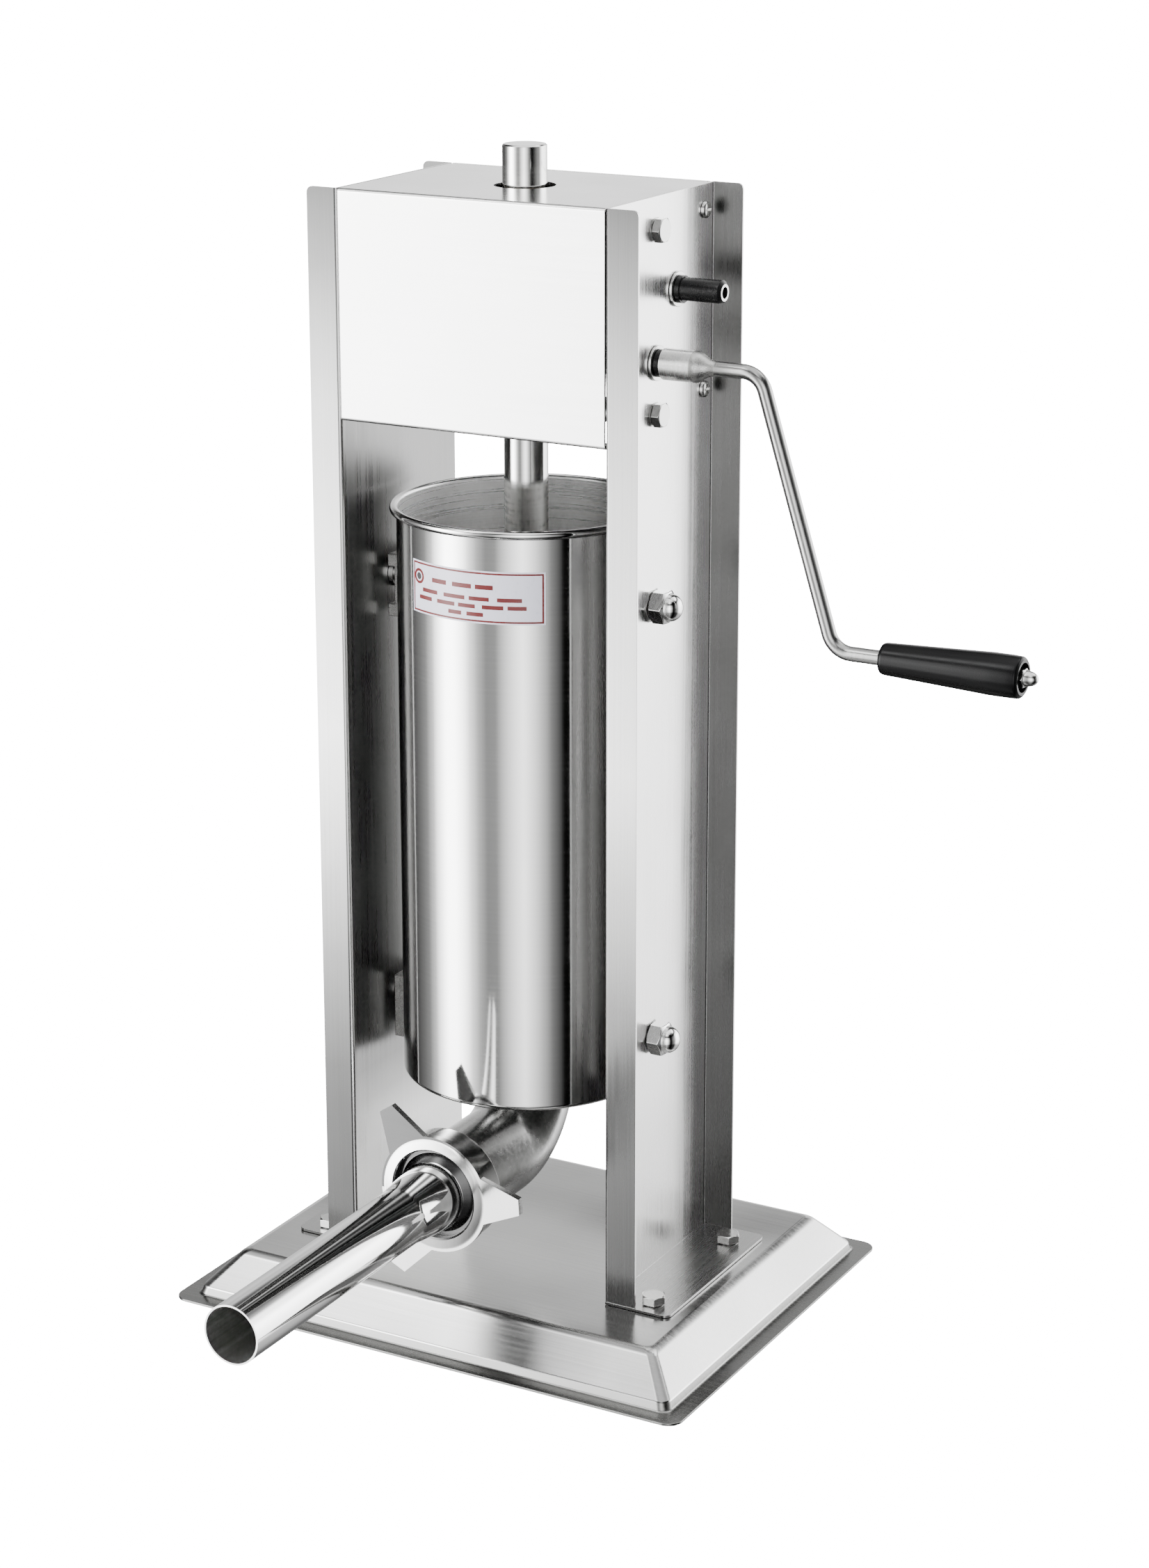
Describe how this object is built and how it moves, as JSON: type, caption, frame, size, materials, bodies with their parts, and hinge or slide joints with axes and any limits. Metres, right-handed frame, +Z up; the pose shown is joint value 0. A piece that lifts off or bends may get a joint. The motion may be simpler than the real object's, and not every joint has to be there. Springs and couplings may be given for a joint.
{
  "type": "vertical sausage stuffer",
  "caption": "Hand-cranked vertical sausage stuffer: sheet steel frame, upright cylinder, geared rack and piston, elbow outlet with nozzle.",
  "frame": {"origin": "on the table plane, at the bottom centre of the box around the whole machine with its crank and nozzle; the cylinder axis stands at x = -0.0732, y = 0.0880", "axes": "+Z up along the rack bar, -Y the way the nozzle points and the front cover faces, +X towards the crank side"},
  "size_m": [0.4896, 0.4558, 0.687],
  "materials": {
    "brushed_steel": "fine brushed stainless sheet",
    "polished_steel": "mirror polished stainless",
    "plated_steel": "bright plated or turned steel",
    "black_steel": "black oxide, oiled",
    "gear_steel": "machined and greased steel",
    "bronze": "turned bearing bronze",
    "silicone": "food-grade silicone, off-white",
    "black_plastic": "moulded black plastic"
  },
  "bodies": {
    "machine_frame": {"base_pan": "brushed_steel", "left_side_plate": "brushed_steel", "right_side_plate": "brushed_steel", "front_top_cover": "brushed_steel", "rear_cover": "brushed_steel", "upper_cross_bar": "gear_steel", "lower_cross_bar": "gear_steel", "upper_guide_bush": "bronze", "lower_guide_bush": "bronze", "bearing_plate": "gear_steel", "bearing_screw_upper": "plated_steel", "bearing_screw_lower": "plated_steel", "fast_bush_right": "plated_steel", "fast_bush_left": "plated_steel", "fast_bush_inner": "bronze", "slow_bush_right": "plated_steel", "slow_bush_inner": "bronze", "cylinder": "brushed_steel", "outlet_elbow": "polished_steel", "outlet_gasket": "silicone", "base_bolt_left_front": "plated_steel", "base_bolt_left_rear": "plated_steel", "frame_bolt_left_upper": "plated_steel", "cover_screw_left_upper": "plated_steel", "cylinder_pin_left_upper": "plated_steel", "cap_nut_left_upper": "polished_steel", "left_upper_bracket": "plated_steel", "frame_bolt_left_lower": "plated_steel", "cover_screw_left_lower": "plated_steel", "cylinder_pin_left_lower": "plated_steel", "cap_nut_left_lower": "polished_steel", "left_lower_bracket": "plated_steel", "base_bolt_right_front": "plated_steel", "base_bolt_right_rear": "plated_steel", "frame_bolt_right_upper": "plated_steel", "cover_screw_right_upper": "plated_steel", "cylinder_pin_right_upper": "plated_steel", "cap_nut_right_upper": "polished_steel", "right_upper_bracket": "plated_steel", "frame_bolt_right_lower": "plated_steel", "cover_screw_right_lower": "plated_steel", "cylinder_pin_right_lower": "plated_steel", "cap_nut_right_lower": "polished_steel", "right_lower_bracket": "plated_steel"},
    "rack": {"rack_bar": "plated_steel", "piston": "polished_steel", "piston_seal": "silicone", "piston_nut": "plated_steel"},
    "air_valve": {"air_valve": "silicone"},
    "fast_shaft": {"fast_shaft": "black_steel", "large_gear": "gear_steel"},
    "slow_shaft": {"slow_shaft": "black_steel", "small_gear": "gear_steel"},
    "crank": {"crank_arm": "plated_steel", "grip_nut": "plated_steel"},
    "grip": {"grip": "black_plastic"},
    "nozzle": {"nozzle": "polished_steel"},
    "wing_nut": {"wing_nut": "polished_steel"}
  },
  "joints": [
    {"name": "rack_slide", "type": "slide", "parent": "machine_frame", "child": "rack", "axis": [0, 0, 1], "range_m": [0, 0.345]},
    {"name": "fast_shaft_spin", "type": "hinge", "parent": "machine_frame", "child": "fast_shaft", "pos_m": [-0.0732, 0.1065, 0.60955], "axis": [1, 0, 0], "range_deg": [-2196.4, 0]},
    {"name": "slow_shaft_spin", "type": "hinge", "parent": "machine_frame", "child": "slow_shaft", "pos_m": [-0.0732, 0.082, 0.5718], "axis": [1, 0, 0], "range_deg": [0, 7216.6]},
    {"name": "crank_pull", "type": "slide", "parent": "slow_shaft", "child": "crank", "axis": [1, 0, 0], "range_m": [0, 0.022]},
    {"name": "grip_spin", "type": "hinge", "parent": "crank", "child": "grip", "pos_m": [0.1541, 0.082, 0.421], "axis": [1, 0, 0], "continuous": true},
    {"name": "nozzle_release", "type": "slide", "parent": "machine_frame", "child": "nozzle", "axis": [0, -1, 0], "range_m": [0, 0.012]},
    {"name": "wing_nut_turn", "type": "hinge", "parent": "nozzle", "child": "wing_nut", "pos_m": [-0.0732, -0.024, 0.0967], "axis": [0, -1, 0], "range_deg": [0, 1080.1]},
    {"name": "air_valve_lift", "type": "slide", "parent": "rack", "child": "air_valve", "axis": [0, 0, 1], "range_m": [0, 0.004]}
  ],
  "couplings": [
    {"joint": "fast_shaft_spin", "follows": "rack_slide", "rad_per_m": -111.11},
    {"joint": "slow_shaft_spin", "follows": "rack_slide", "rad_per_m": 365.08},
    {"joint": "wing_nut_turn", "follows": "nozzle_release", "rad_per_m": 1570.8}
  ]
}
